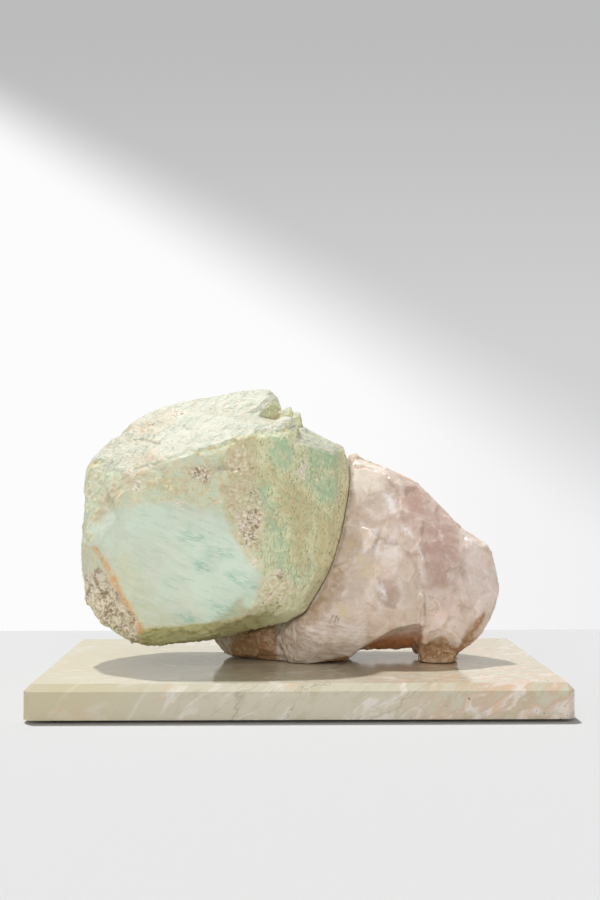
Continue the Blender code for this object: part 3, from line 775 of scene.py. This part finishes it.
def rose_quartz_material(look):
    """Massive rose quartz with conchoidal breaks: glassy, cloudy inside, with white veils and iron skin."""
    made, tree, shader, place = fresh_material("rose_quartz_cloudy_break")
    mask = masks_of(tree, "pink pale bright scar cream veil haze ochre ribs contact under skin posts tick "
                          "facet grime edge hollow")
    tall = add_node(tree, "SeparateXYZ", {0: place}).outputs[2]
    broad, wisp, mottle, speckle, strand, upright, milk, crack = patterns(tree, place, (
        (32.0, 4.0, 0.55, 1.0),
        (12.0, 5.0, 0.58, 0.5),
        (5.0, 5.0, 0.6, 0.5),
        (1.6, 4.0, 0.65, 0.0),
        (1.6, 4.0, 0.55, 0.3, RIB_RUN, FRONT, 9.0),
        (2.0, 4.0, 0.55, 0.3, POST_RUN, FRONT, 8.0),
        (15.0, 6.0, 0.58, 0.25),
        (26.0, 5.0, 0.5, 0.9, (0.3, 0.2, 0.9), FRONT, 2.5),
    ))
    # Healed cracks lie where the drawn out pattern passes its middle value
    middle = add_node(tree, "Math", {0: crack, 1: 0.5}, operation="SUBTRACT").outputs[0]
    line = add_node(tree, "Math", {0: middle}, operation="ABSOLUTE").outputs[0]
    cream = layered(tree, look.cream, ((look.ochre, (speckle, 0.52, 0.66, 0.45)),))
    skin = layered(tree, look.skin, (
        ("CEB288", (mottle, 0.48, 0.62, 0.8)),
        ("7F5D38", (speckle, 0.54, 0.66, 0.6)),
    ))
    posts = layered(tree, "DFCDBB", (
        ("E7DDD4", (upright, 0.5, 0.62, 0.7)),
        ("AC9577", (upright, 0.47, 0.36, 0.7)),
    ))
    # The underside: peach toward the bottom, over bright pink that is painted light in its shade
    under = layered(tree, look.bright, (
        (look.under, (tall, 66.0, 50.0, 1.0)),
        ("EDBE94", (mottle, 0.45, 0.62, 0.35)),
    ))
    colour = layered(tree, look.mauve, (
        (look.pink, mask["pink"]),
        (look.pale, mask["pale"]),
        (look.bright, mask["bright"], (wisp, 0.3, 0.6, 1.0)),
        ("DED0C4", (broad, 0.44, 0.7, 0.5)),
        ("C6AC9F", (broad, 0.52, 0.3, 0.4)),
        ("EADFD9", (wisp, 0.5, 0.76, 0.3)),
        ("BE9F93", (wisp, 0.5, 0.24, 0.25)),
        ("F6ECE7", (milk, 0.5, 0.72, 0.6)),
        ("B8937F", (milk, 0.48, 0.28, 0.38)),
        (look.veil, mask["haze"], (wisp, 0.35, 0.6, 0.45)),
        ("A87F69", mask["scar"]),
        ("E3D9D3", mask["ribs"], (strand, 0.5, 0.62, 0.55)),
        ("B39C8D", mask["ribs"], (strand, 0.48, 0.36, 0.5)),
        (look.ochre, mask["ochre"], (mottle, 0.36, 0.55, 0.9)),
        (cream, mask["cream"]),
        (look.veil, mask["veil"], (mottle, 0.3, 0.55, 0.9)),
        ("EEE8E5", (line, 0.012, 0.0, 0.4), (broad, 0.45, 0.55, 1.0)),
        # Brown under the aquamarine's edge: partly stain, partly painted shade
        ("A88B64", mask["contact"], (mottle, 0.15, 0.75, 0.8)),
        # Lighter on raised edges: partly worn edges, partly painted highlight
        ("EAE0DA", mask["edge"], (mottle, 0.3, 0.6, 0.25)),
        # Painted shade in hollows
        ("B1937F", mask["hollow"], (mottle, 0.3, 0.65, 0.5)),
        (skin, mask["skin"]),
        (posts, mask["posts"]),
        # Underside: its peach colour with painted light
        (under, mask["under"]),
        # Darker along the seam to the aquamarine: brown stain with painted shade
        ("8D7453", mask["grime"], (mottle, 0.2, 0.7, 0.8)),
        ("8D7160", mask["tick"]),
    ))
    colour = facet_toned(tree, colour, mask["facet"], 0.08)
    height = summed(tree, (
        (0.6, wisp),
        (0.45, mottle),
        (0.2, speckle),
        (0.5, strand, mask["ribs"]),
        (0.9, speckle, mask["skin"]),
    ))
    finish_shader(tree, shader, colour, gloss=(wisp, 0.18, 0.42), relief=(height, 0.001, 0.6))
    fill_sockets(tree, shader, {"IOR": 1.54, "Subsurface Weight": 0.45, "Subsurface Scale": 0.013,
                                "Subsurface Radius": (1.0, 0.75, 0.62)})
    return made


def marble_material(look):
    """Cream marble, sawn and polished: mirror-like at a low angle, with soft rose clouds and hair veins."""
    made, tree, shader, place = fresh_material("marble_polished_cream")
    along = add_node(tree, "SeparateXYZ", {0: place}).outputs[0]
    broad, drift, band, fine = patterns(tree, place, (
        (80.0, 4.0, 0.5, 0.8),
        (24.0, 5.0, 0.52, 1.6, MARBLE_DRIFT_RUN, UP, 3.0),
        (9.0, 5.0, 0.55, 1.2, MARBLE_DRIFT_RUN, UP, 4.0),
        (5.0, 5.0, 0.6, 0.5),
    ))
    # Pits lie in cells 8 mm across, and only toward the right
    pores = add_node(tree, "TexVoronoi", {"Vector": place, "Scale": 1 / 8.0}, feature="F1")
    busy = (along, -190.0, -60.0, 1.0)
    colour = layered(tree, look.cream, (
        (look.green, (along, -90.0, -200.0, 1.0), (broad, 0.2, 0.5, 0.9)),
        (look.pink, (along, 40.0, 170.0, 1.0), (drift, 0.42, 0.58, 0.8)),
        (look.white, busy, (drift, 0.52, 0.64, 0.65)),
        (look.white, (drift, 0.5, 0.7, 0.3)),
        ("BCB294", busy, (band, 0.48, 0.36, 0.5)),
        (look.orange, (band, 0.5, 0.7, 1.0), (drift, 0.4, 0.6, 1.0), (broad, 0.44, 0.56, 0.7)),
        ("C4B695", (fine, 0.55, 0.7, 0.35)),
    ))
    # The veins wander a few mm with the broad and the drawn out pattern
    wander = add_node(tree, "Math", {0: broad, 1: 120.0, 2: -60.0}, operation="MULTIPLY_ADD")
    wander = add_node(tree, "Math", {0: drift, 1: 22.0, 2: wander.outputs[0]}, operation="MULTIPLY_ADD")
    front = box_in_mm("marble_base")[0][1]
    for start, height, lean, slant in MARBLE_VEINS:
        # Distance from the slanting plane through the place where the vein shows on the front
        off = add_node(tree, "VectorMath", {0: place, 1: (1.0, -slant, -lean)}, operation="DOT_PRODUCT")
        aside = add_node(tree, "Math", {0: off.outputs[1], 1: height * lean - start + front * slant},
                         operation="ADD")
        gap = add_node(tree, "Math", {0: aside.outputs[0], 1: wander.outputs[0]}, operation="ADD")
        near = add_node(tree, "Math", {0: gap.outputs[0]}, operation="ABSOLUTE").outputs[0]
        colour = layered(tree, colour, ((look.vein, (near, 1.5, 0.2, 0.42)),))
    colour = layered(tree, colour, (
        (look.pit, (along, 20.0, 160.0, 1.0), (pores.outputs["Distance"], 0.16, 0.09, 1.0),
         (fine, 0.5, 0.56, 1.0)),
    ))
    finish_shader(tree, shader, colour, gloss=(fine, 0.09, 0.17), relief=(fine, 0.00004, 0.5))
    fill_sockets(tree, shader, {"IOR": 1.45})
    return made


def felt_material(look):
    """Pressed wool felt: dull and fuzzy, so it swallows light under the slab."""
    made, tree, shader, place = fresh_material("felt_pressed_wool")
    # Wool fibres are about 0.03 mm thick, too fine to show, so they are drawn 0.5 mm thick
    fibre, lint = patterns(tree, place, (
        (0.5, 3.0, 0.6, 1.0, (0.8, 0.6, 0.0), UP, 6.0),
        (1.6, 3.0, 0.7, 0.0),
    ))
    colour = layered(tree, look.felt, (("3A3A38", (lint, 0.55, 0.75, 0.5)),))
    height = summed(tree, ((1.0, fibre), (0.6, lint)))
    bump = add_node(tree, "Bump", {"Height": height, "Distance": 0.0003, "Strength": 0.8})
    fill_sockets(tree, shader, {"Base Color": colour, "Normal": bump.outputs[0], "Roughness": 0.95,
                                "Sheen Weight": 0.2})
    return made


def grain_material(clear, stained):
    """Clear to milky quartz crumbs, broken: small bright facets that catch the light."""
    made, tree, shader, place = fresh_material("quartz_crumbs_broken")
    tone, = patterns(tree, place, ((3.0, 2.0, 0.6, 0.0),))
    colour = layered(tree, clear, ((stained, (tone, 0.48, 0.6, 0.8)),))
    fill_sockets(tree, shader, {"Base Color": colour, "Roughness": 0.22, "IOR": 1.54})
    return made


# Stones

def keep_knob_crisp(mesh, crisp):
    """Give the knob and the end of the peak back the points that they had before the calming."""
    points = mesh_points(mesh)
    x, z = points[:, 0], points[:, 2]
    keep = ramp(*KNOB_LEFT, x) * ramp(*KNOB_RIGHT, x) * ramp(*KNOB_FOOT, z)
    points += (crisp - points) * keep[:, None]
    set_points(mesh, points)
    return points, keep


def aquamarine_surfaces(rock):
    """Where the aquamarine is smooth, granular, pitted, veined or cracked."""
    wobble, fine, rough, zone, x, z = rock.wobble, rock.fine, rock.rough, rock.zone, rock.x, rock.z
    drift = waves(rock.points, 80.0, 2, 9.0)
    rock.top = ramp(0.35, 0.62, rock.out[:, 2] + 0.12 * wobble)
    rock.under = ramp(0.25, 0.5, -rock.out[:, 2] + 0.1 * wobble)
    # The back and the ends repeat the front's kinds of surface where noise puts them
    rock.smooth = np.maximum(zone["smooth"], rock.hidden * ramp(0.0, 0.2, drift + 0.1 * fine))
    rock.smooth *= 1.0 - rock.under
    patches = ramp(0.1, 0.4, waves(rock.points, 30.0, 3, 5.0) + 0.2 * fine)
    granular = np.maximum(zone["granular"], rock.hidden * patches * 0.8)
    rock.granular = np.maximum(granular * (1.0 - rock.smooth), zone["corner"])
    rock.blush = np.maximum(zone["blush"], 0.7 * rock.hidden * ramp(0.1, 0.5, fine - drift))
    rock.right = ramp(-64.0, -24.0, x + 0.3 * (z - 150.0) + 12.0 * wobble)
    rock.right *= (1.0 - rock.smooth) * (1.0 - rock.top)
    # The vein is wider low down, and patchy
    rock.vein_gap = path_distance(ORANGE_VEIN, x, z) + 1.2 * fine + 0.8 * wobble
    rock.vein = (1.0 - ramp(0.8, ramp(150.0, 80.0, z) * 3.4 + 4.4, rock.vein_gap)) * rock.seen
    rock.vein *= ramp(-0.9, 0.15, waves(rock.points, 7.0, 4, 6.0))
    crack_gap = path_distance(BROWN_CRACK, x, z) + 1.5 * wobble
    rock.crack = (1.0 - ramp(0.3, 1.3, crack_gap)) * rock.seen
    rock.deep = np.maximum(zone["sunk"], 0.55 * zone["corner"])
    druzy_pits = ramp(0.42, 0.7, rough + 0.5 * wobble - 0.25 + 0.5 * zone["crystal"])
    rock.pits = np.maximum(rock.granular * druzy_pits, rock.deep * ramp(-0.1, 0.4, rough + 0.8 * fine))


def aquamarine_relief(rock, look, keep):
    """How far each point of the aquamarine stands out, before the facets and the chips."""
    wobble, fine, rough, zone = rock.wobble, rock.fine, rock.rough, rock.zone
    terrace = waves(squeezed(rock.points, LEDGE_RUN, LEDGE_OUTWARD, 7.0), 7.0, 3, 2.0) * 4.0
    rock.coarse = (1.0 - 0.8 * rock.smooth) * (1.0 - 0.5 * rock.top) * (1.0 - 0.6 * keep)
    heights = 0.5 * wobble + 0.3 * fine + 0.2 * rough + 0.4 * ramp(0.1, 0.6, fine + 0.5 * rough)
    heights = heights * rock.coarse - 0.6 * rock.smooth
    heights += look.ledge_height / MM * (np.abs(terrace % 1.0) - 1.0) * rock.top * 0.8
    crumbs = 1.0 - cells(rock.points, 3.2)[:, 0]
    heights += look.grain_height / MM * rock.granular * (crumbs - 0.9) - 1.6 * rock.pits - 1.6 * rock.deep
    heights -= 2.2 * zone["corner"] * ramp(0.05, 0.5, waves(rock.points, 9.0, 3, 11.0))
    heights -= 1.1 * zone["rim"] * ramp(0.15, 0.6, fine + 0.7 * rough)
    heights -= 1.2 * (1.0 - ramp(0.0, 1.8, rock.vein_gap)) * rock.seen + 1.2 * rock.crack + 0.4
    return heights


def aquamarine_boulder(look):
    """The green boulder, with a smooth broken face, granular patches and ledges on top."""
    item = remeshed("aquamarine", "Aquamarine_boulder", look.voxel)
    crisp = mesh_points(item.data)
    calm_small_facets(item.data, turn=0.28)
    points, keep = keep_knob_crisp(item.data, crisp)
    out = point_normals(item.data)
    rock = surface_of(points, out, AQUAMARINE_ZONES, wobble=(16.0, 4), fine=(5.0, 4, 3.0),
                      rough=(2.2, 3, 7.0), ragged=(5.0, 3.0))
    aquamarine_surfaces(rock)
    heights = aquamarine_relief(rock, look, keep)
    fine, rough, zone = rock.fine, rock.rough, rock.zone
    broken, facet = facets(points, out, 0.4 * rock.ragged, size=27.0, limit=1.6, shift=1.5)
    heights += 0.8 * broken * rock.coarse
    # Edges are chipped, but not the thin knob or the peak
    chipped = ramp(0.5, 1.8, bulge(item.data, points, out)) * ramp(-0.25, 0.5, fine + 0.6 * rough)
    heights -= 1.8 * chipped * (1.0 - rock.under) * ramp(262.0, 240.0, rock.z)
    gap = gap_to("rose_quartz", points)
    heights *= ramp(0.4, 4.5, gap)
    rim_pits = 0.55 * zone["rim"] * ramp(0.3, 0.7, rough + 0.6 * fine)
    masks = {
        "smooth": rock.smooth,
        "lime": zone["lime"],
        "blue": zone["blue"] * 0.75,
        "teal": zone["teal"] * 0.7,
        "green": zone["green"] * (1.0 - rock.smooth) * (1.0 - 0.5 * rock.top),
        "granular": rock.granular * 0.8,
        "corner": zone["corner"] * 0.9,
        "crystal": zone["crystal"] * (1.0 - rock.pits),
        "ochre": zone["ochre"] * 0.7,
        "rim": zone["rim"],
        "blush": rock.blush,
        "pits": np.maximum(np.maximum(rock.pits * 0.7, rock.crack * 0.35), rim_pits),
        "vein": rock.vein * 0.85,
        "top": rock.top,
        "under": rock.under,
        "right": rock.right,
        "facet": facet,
        # Near the rose quartz: seam stain and painted shade in the gap
        "grime": 0.8 - 0.8 * ramp(0.5, 3.5, gap + 1.5 * fine),
    }
    finish_stone(item, "aquamarine", heights, masks, aquamarine_material(look))
    return item


def rose_quartz_relief(rock, look, skin):
    """How far each point of the rose quartz stands out, before the ticks, the facets and the chips."""
    wobble, fine, rough, zone = rock.wobble, rock.fine, rock.rough, rock.zone
    swell = cells(rock.points + 4.0 * np.stack((wobble, fine, wobble), axis=1), 30.0, 2.0)
    dish = np.clip(swell[:, 1] - swell[:, 0], 0.0, 0.6)
    ripple = np.sin(swell[:, 0] * 26.0) * ramp(0.2, 0.5, swell[:, 0])
    ridge = (1.0 - ramp(0.0, 5.0, path_distance(RIDGE_LINE, rock.x, rock.z) + 2.0 * wobble)) * rock.seen
    ribs = waves(squeezed(rock.points, RIB_RUN, FRONT, 9.0), 2.2, 2, 6.0)
    posts = waves(squeezed(rock.points, POST_RUN, FRONT, 8.0), 4.0, 3, 5.0)
    heights = -look.swell_height / MM * dish + 0.09 * ripple + 0.4 * wobble + 0.15 * fine + 0.04 * rough
    heights += 0.4 * ribs * zone["ribs"] + 0.9 * ridge + 1.1 * posts * zone["posts"]
    heights += skin * (0.8 * fine + 0.7 * rough - 0.4) - 1.8 * zone["scar"]
    return heights


def rose_quartz_boulder(look):
    """The pink boulder, with conchoidal breaks, a scar, a cleft and brown natural skin at its feet."""
    item = remeshed("rose_quartz", "Rose_quartz_boulder", look.voxel)
    calm_small_facets(item.data, turn=0.26)
    points, out = mesh_points(item.data), point_normals(item.data)
    rock = surface_of(points, out, ROSE_QUARTZ_ZONES, wobble=(18.0, 4, 1.0), fine=(6.0, 4, 4.0),
                      rough=(2.2, 3, 8.0), ragged=(4.0, 2.5))
    wobble, fine, rough, zone, hidden = rock.wobble, rock.fine, rock.rough, rock.zone, rock.hidden
    # The back and the ends have brown skin at the feet and in patches
    low = ramp(62.0, 44.0, rock.z + 5.0 * wobble)
    skin_patches = 0.6 * ramp(0.3, 0.9, waves(points, 30.0, 4, 6.0))
    skin = np.maximum(zone["skin"] * 0.85, hidden * np.maximum(low * 0.9, skin_patches))
    # Underside of the back, which gets the underside's painted light
    hidden_underside_glow = hidden * ramp(0.45, 0.75, -out[:, 2]) * ramp(80.0, 62.0, rock.z)
    heights = rose_quartz_relief(rock, look, skin)
    tick = np.zeros(len(points))
    for mark in TICK_MARKS:
        gap = path_distance(mark, rock.x, rock.z) + 0.4 * fine
        tick = np.maximum(tick, 0.7 - 0.7 * ramp(0.2, 1.0, gap))
    tick *= rock.seen
    heights -= 0.8 * tick + 0.2
    broken, facet = facets(points, out, 0.5 * rock.ragged, size=31.0, limit=2.6, shift=4.0)
    heights += 0.9 * broken * (1.0 - 0.6 * zone["ribs"])
    heights -= ramp(0.5, 1.8, bulge(item.data, points, out)) * ramp(-0.1, 0.6, fine + 0.4 * rough)
    gap = gap_to("aquamarine", points)
    heights *= ramp(0.4, 4.5, np.minimum(gap, rock.z - rock.z.min()))
    masks = {
        "pink": np.maximum(zone["pink"], 0.8 * hidden * ramp(0.0, 0.4, waves(points, 50.0, 2, 3.0))),
        "pale": zone["pale"],
        "bright": zone["bright"],
        "scar": zone["scar"] * 0.45,
        "cream": zone["cream"] * 0.9,
        "veil": np.maximum(zone["veil"], 0.8 * hidden * ramp(0.55, 0.75, fine + 0.4 * wobble)),
        "haze": zone["haze"],
        "ochre": np.maximum(zone["ochre"], hidden * ramp(0.35, 0.6, fine - wobble)),
        "ribs": zone["ribs"],
        "contact": zone["contact"],
        "skin": skin,
        "posts": zone["posts"],
        # Underside: peach colour brightened as painted light
        "under": np.maximum(zone["under"], hidden_underside_glow) * (1.0 - skin),
        "tick": tick,
        "facet": facet,
        # Near the aquamarine: seam stain and painted shade in the gap
        "grime": (1.0 - ramp(0.8, 6.0, gap + 2.0 * fine)) * 0.8,
    }
    finish_stone(item, "rose_quartz", heights, masks, rose_quartz_material(look))
    return item


def crumbs_on(stone, node, mask_name, name, count, seed, finish):
    """Small broken crystals set where a mask of the stone is strong."""
    mesh = stone.data
    points, out = mesh_points(mesh), point_normals(mesh)
    weight = field_of(mesh.attributes[mask_name].data, "value")
    rng = np.random.default_rng(seed)
    chances = np.clip(weight - 0.35, 0.0, None)
    places = rng.choice(len(points), size=count, replace=False, p=chances / chances.sum())
    verts, faces = [], []
    for number, place in enumerate(places):
        size = rng.uniform(0.5, 1.0) ** 2 * CRUMB_REACH
        shape = CRUMB_POINTS * rng.uniform(0.55, 1.25, 3) * size + rng.normal(0.0, 0.14 * size, (6, 3))
        turn, _rest = np.linalg.qr(rng.normal(size=(3, 3)))
        verts.append(shape @ turn + points[place] - out[place] * 0.35 * size)
        faces += [tuple(corner + 6 * number for corner in face) for face in CRUMB_FACES]
    spread = np.clip(np.concatenate(verts), *box_in_mm(node))
    made = bpy.data.meshes.new(name)
    made.from_pydata((spread * MM).tolist(), [], faces)
    made.update()
    made.materials.append(finish)
    item = placed(name, made)
    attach(item, "root")


def dress_node(node, finish, edge_round):
    """Give a packed solid its material and edges rounded by a width in metres."""
    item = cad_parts[node]
    for slot in item.material_slots:
        slot.material = finish
    step = item.modifiers.new("edge_round", "BEVEL")
    step.width = edge_round
    step.segments = 2
    step.limit_method = "ANGLE"


# Stage

def flat_sheet(name, corners, finish):
    """A flat stage sheet from its corners in mm."""
    mesh = bpy.data.meshes.new(name)
    mesh.from_pydata([tuple(value * MM for value in corner) for corner in corners], [], [(0, 1, 2, 3)])
    mesh.materials.append(finish)
    item = placed(name, mesh)
    return item


def floor_material(look):
    """Matt paper sweep: even and pale."""
    made, tree, shader, place = fresh_material("paper_matt_sweep")
    tooth, = patterns(tree, place, ((1.2, 2.0, 0.5, 0.0),))
    bump = add_node(tree, "Bump", {"Height": tooth, "Distance": 0.00005, "Strength": 0.3})
    fill_sockets(tree, shader, {"Base Color": colour_of(look.floor), "Roughness": 0.9,
                                "Specular IOR Level": 0.1, "Normal": bump.outputs[0]})
    return made


def wall_material(look):
    """Paper backdrop that glows with painted light, a soft painted shade slanting across its upper right, and
    clear from behind.
    """
    made = bpy.data.materials.new("paper_backdrop_painted_glow")
    made.use_nodes = True
    tree = made.node_tree
    tree.nodes.remove(tree.nodes["Principled BSDF"])
    # Places on the wall are in metres here
    place = add_node(tree, "TexCoord").outputs["Object"]
    parts = add_node(tree, "SeparateXYZ", {0: place})
    across, tall = parts.outputs[0], parts.outputs[2]
    # The shade's edge is crisp at the left and spreads toward the right
    edge = add_node(tree, "Math", {0: across, 1: -0.15, 2: 0.335}, operation="MULTIPLY_ADD")
    slope = add_node(tree, "VectorMath", {0: place, 1: (0.455, 0.0, 0.89)}, operation="DOT_PRODUCT")
    lit = layered(tree, look.wall_light, ((look.wall_dim, (across, 0.0, 0.42, 1.0)),))
    dark = layered(tree, look.wall_low, ((look.wall_high, (tall, 0.28, 0.9, 1.0)),))
    seen = layered(tree, lit, ((dark, (slope.outputs[1], edge.outputs[0], 0.5, 1.0)),))
    # The slab mirrors the wall warmer and dimmer than it is seen, and without the shade
    mirrored = add_node(tree, "LightPath").outputs["Is Glossy Ray"]
    strength = add_node(tree, "MapRange", {"Value": mirrored, "To Min": 1.0, "To Max": WALL_MIRRORED})
    # The backdrop glows though it is no lamp: painted light
    glow = add_node(tree, "Emission", {
        "Color": layered(tree, seen, ((look.wall_mirrored, mirrored),)), "Strength": strength.outputs[0]})
    clear = add_node(tree, "BsdfTransparent")
    behind = add_node(tree, "NewGeometry").outputs["Backfacing"]
    both = add_node(tree, "MixShader", {0: behind, 1: glow.outputs[0], 2: clear.outputs[0]})
    fill_sockets(tree, tree.nodes["Material Output"], {"Surface": both.outputs[0]})
    return made


def sun(name, toward_light, strength, angle, tint):
    """A distant lamp."""
    lamp = bpy.data.lights.new(name, "SUN")
    lamp.color = tint
    lamp.energy = strength
    lamp.angle = angle
    item = placed(name, lamp)
    item.rotation_euler = Vector(toward_light).to_track_quat("Z", "Y").to_euler()


def room_light(look):
    """Even light from all round, white and brighter where the camera sees it."""
    world = bpy.data.worlds.new("Studio")
    world.use_nodes = True
    tree = world.node_tree
    seen = add_node(tree, "LightPath").outputs["Is Camera Ray"]
    strength = add_node(tree, "MapRange", {"Value": seen, "To Min": look.around, "To Max": ROOM_SEEN})
    fill_sockets(tree, tree.nodes["Background"], {"Color": layered(tree, look.room, (("FFFFFF", seen),)),
                                                  "Strength": strength.outputs[0]})
    return world


def photo_camera():
    """The camera where the photograph was taken from."""
    camera = bpy.data.cameras.new("Camera")
    camera.lens = CAMERA_LENS_MM
    camera.sensor_width = CAMERA_SENSOR_MM
    camera.clip_start, camera.clip_end = 0.05, 50.0
    item = placed("Camera", camera)
    item.location = Vector(CAMERA_PLACE) * MM
    level = math.cos(CAMERA_TILT)
    ahead = Vector((math.sin(CAMERA_YAW) * level, math.cos(CAMERA_YAW) * level, math.sin(CAMERA_TILT)))
    item.rotation_euler = ahead.to_track_quat("-Z", "Y").to_euler()
    return item


def build_stage(look):
    """Floor, backdrop, lights and camera."""
    scene = bpy.context.scene
    left, right = -FLOOR_REACH, FLOOR_REACH
    flat_sheet("Floor", ((left, left, 0), (right, left, 0), (right, right, 0), (left, right, 0)),
               floor_material(look))
    backdrop = flat_sheet("Backdrop", ((left, WALL_PLACE, 0), (right, WALL_PLACE, 0),
                                       (right, WALL_PLACE, WALL_HEIGHT), (left, WALL_PLACE, WALL_HEIGHT)),
                          wall_material(look))
    # The backdrop is seen and mirrored, but neither lights the stones nor keeps the key light off them
    backdrop.visible_diffuse = backdrop.visible_shadow = False
    sun("Key", KEY_TOWARD_LIGHT, look.key, KEY_ANGLE, look.key_tint)
    sun("Fill", FILL_TOWARD_LIGHT, look.fill, FILL_ANGLE, (1.0, 1.0, 1.0))
    scene.world = room_light(look)
    scene.view_settings.view_transform = "Standard"
    scene.camera = photo_camera()


# Operators, panel and registration


class SPECIMEN_OT_aquamarine(bpy.types.Operator):
    """Build the aquamarine boulder and its crumbs"""
    bl_idname = "specimen.aquamarine"
    bl_label = "Aquamarine boulder"

    def execute(self, context):
        stone = aquamarine_boulder(context.scene.specimen_aquamarine)
        crumbs_on(stone, "aquamarine", "crystal", "Crumbs_on_aquamarine", count=420, seed=4,
                  finish=grain_material("F2EADF", "D6BC98"))
        return {"FINISHED"}


class SPECIMEN_OT_rose_quartz(bpy.types.Operator):
    """Build the rose quartz boulder and its crumbs"""
    bl_idname = "specimen.rose_quartz"
    bl_label = "Rose quartz boulder"

    def execute(self, context):
        stone = rose_quartz_boulder(context.scene.specimen_rose_quartz)
        crumbs_on(stone, "rose_quartz", "skin", "Crumbs_on_rose_quartz", count=260, seed=9,
                  finish=grain_material("D9BE9A", "A8814F"))
        return {"FINISHED"}


class SPECIMEN_OT_marble_base(bpy.types.Operator):
    """Polish the marble base"""
    bl_idname = "specimen.marble_base"
    bl_label = "Marble base"

    def execute(self, context):
        look = context.scene.specimen_marble
        dress_node("marble_base", marble_material(look), look.edge_round)
        return {"FINISHED"}


class SPECIMEN_OT_felt_pad(bpy.types.Operator):
    """Cover the pad in felt"""
    bl_idname = "specimen.felt_pad"
    bl_label = "Felt pad"

    def execute(self, context):
        look = context.scene.specimen_pad
        dress_node("felt_pad", felt_material(look), look.edge_round)
        return {"FINISHED"}


class SPECIMEN_OT_stage(bpy.types.Operator):
    """Set up the studio floor, backdrop, lights and camera"""
    bl_idname = "specimen.stage"
    bl_label = "Studio"

    def execute(self, context):
        build_stage(context.scene.specimen_stage)
        return {"FINISHED"}


SETTINGS = {
    "specimen_aquamarine": AquamarineSettings,
    "specimen_rose_quartz": RoseQuartzSettings,
    "specimen_marble": MarbleSettings,
    "specimen_pad": PadSettings,
    "specimen_stage": StageSettings,
}
OPERATORS = (SPECIMEN_OT_stage, SPECIMEN_OT_aquamarine, SPECIMEN_OT_rose_quartz, SPECIMEN_OT_marble_base,
             SPECIMEN_OT_felt_pad)


class SPECIMEN_PT_sidebar(bpy.types.Panel):
    """Settings and builders of the specimen"""
    bl_label = "Specimen"
    bl_idname = "SPECIMEN_PT_sidebar"
    bl_space_type = "VIEW_3D"
    bl_region_type = "UI"
    bl_category = "Specimen"

    def draw(self, context):
        for operator in OPERATORS:
            self.layout.operator(operator.bl_idname)
        for name, settings in SETTINGS.items():
            group = self.layout.box()
            group.label(text=settings.__doc__)
            for field in settings.__annotations__:
                group.prop(getattr(context.scene, name), field)


def register():
    for settings in SETTINGS.values():
        bpy.utils.register_class(settings)
    for name, settings in SETTINGS.items():
        setattr(bpy.types.Scene, name, PointerProperty(type=settings))
    for operator in OPERATORS:
        bpy.utils.register_class(operator)
    bpy.utils.register_class(SPECIMEN_PT_sidebar)


def unregister():
    bpy.utils.unregister_class(SPECIMEN_PT_sidebar)
    for operator in reversed(OPERATORS):
        bpy.utils.unregister_class(operator)
    for name in SETTINGS:
        delattr(bpy.types.Scene, name)
    for settings in reversed(tuple(SETTINGS.values())):
        bpy.utils.unregister_class(settings)


def main():
    register()
    bpy.ops.specimen.stage()
    bpy.ops.specimen.aquamarine()
    bpy.ops.specimen.rose_quartz()
    bpy.ops.specimen.marble_base()
    bpy.ops.specimen.felt_pad()


if __name__ == "__main__":
    main()
